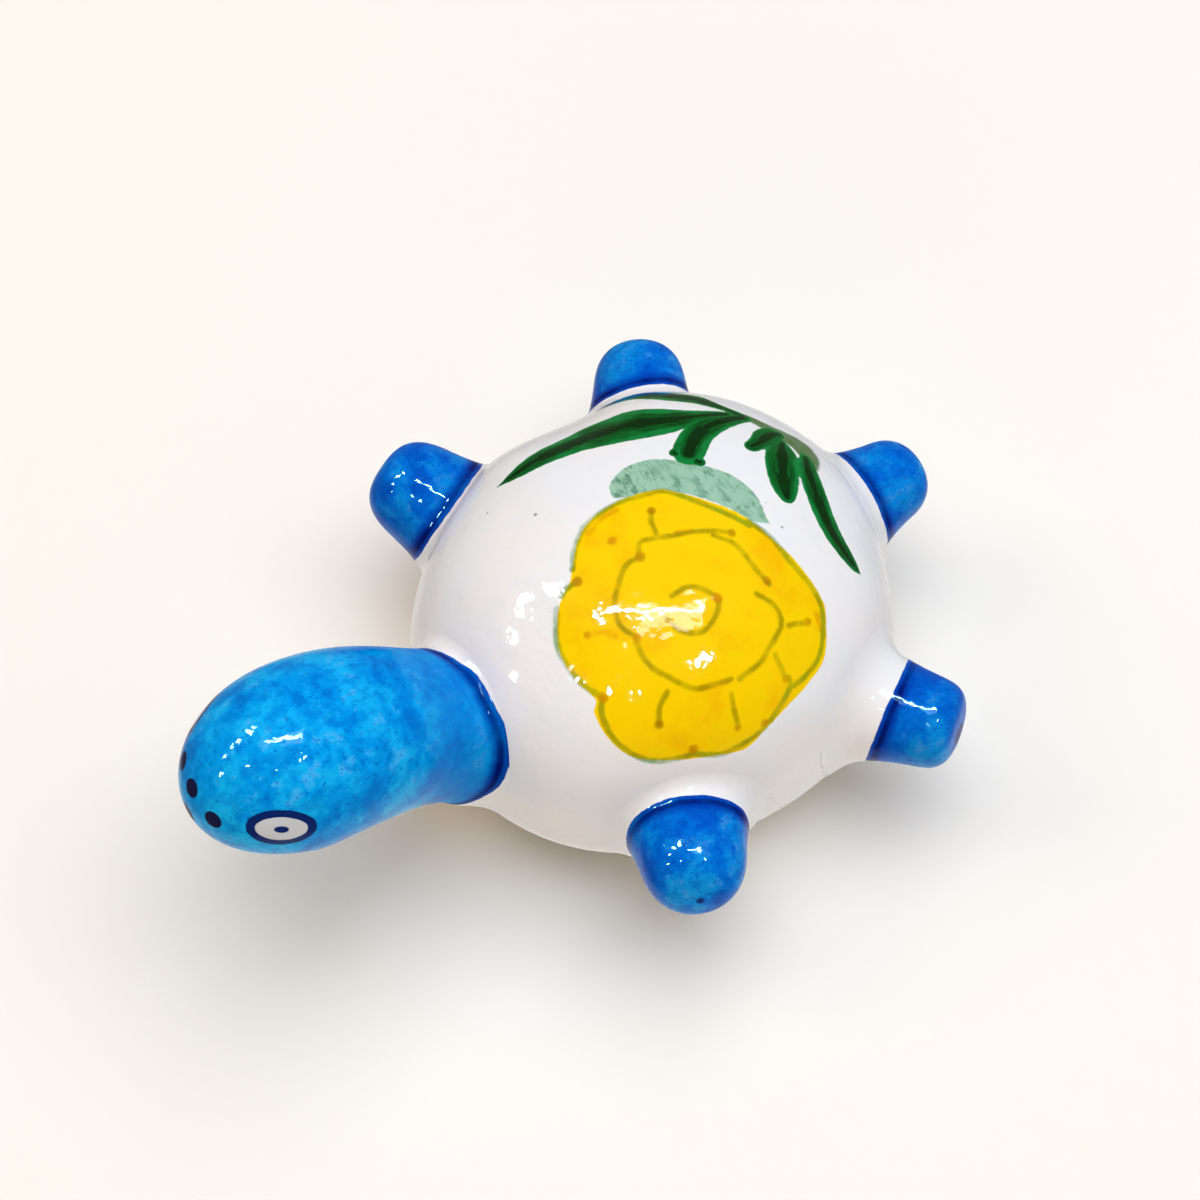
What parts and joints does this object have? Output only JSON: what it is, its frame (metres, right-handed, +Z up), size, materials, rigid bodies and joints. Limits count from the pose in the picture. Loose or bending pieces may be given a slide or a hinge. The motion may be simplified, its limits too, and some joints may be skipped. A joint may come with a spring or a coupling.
{
  "type": "tortoise paperweight",
  "caption": "Glazed ceramic tortoise paperweight with a hollow domed body on a flat foot, a raised rounded head, stub legs and a tail, painted by hand.",
  "frame": {"origin": "middle of the flat foot under the body, on the surface that the tortoise stands on", "axes": "+Z up, -Y toward the head, +X toward the tortoise's left side"},
  "size_m": [0.0902, 0.1271, 0.0527],
  "materials": {
    "white_glaze": "gloss white glaze with painted flower and leaves",
    "blue_glaze": "gloss glaze over brushed cobalt blue"
  },
  "bodies": {
    "root": {"carapace": "white_glaze", "plastron": "white_glaze", "head_and_neck": "blue_glaze", "front_left_leg": "blue_glaze", "front_right_leg": "blue_glaze", "rear_left_leg": "blue_glaze", "rear_right_leg": "blue_glaze", "tail": "blue_glaze"}
  },
  "joints": []
}
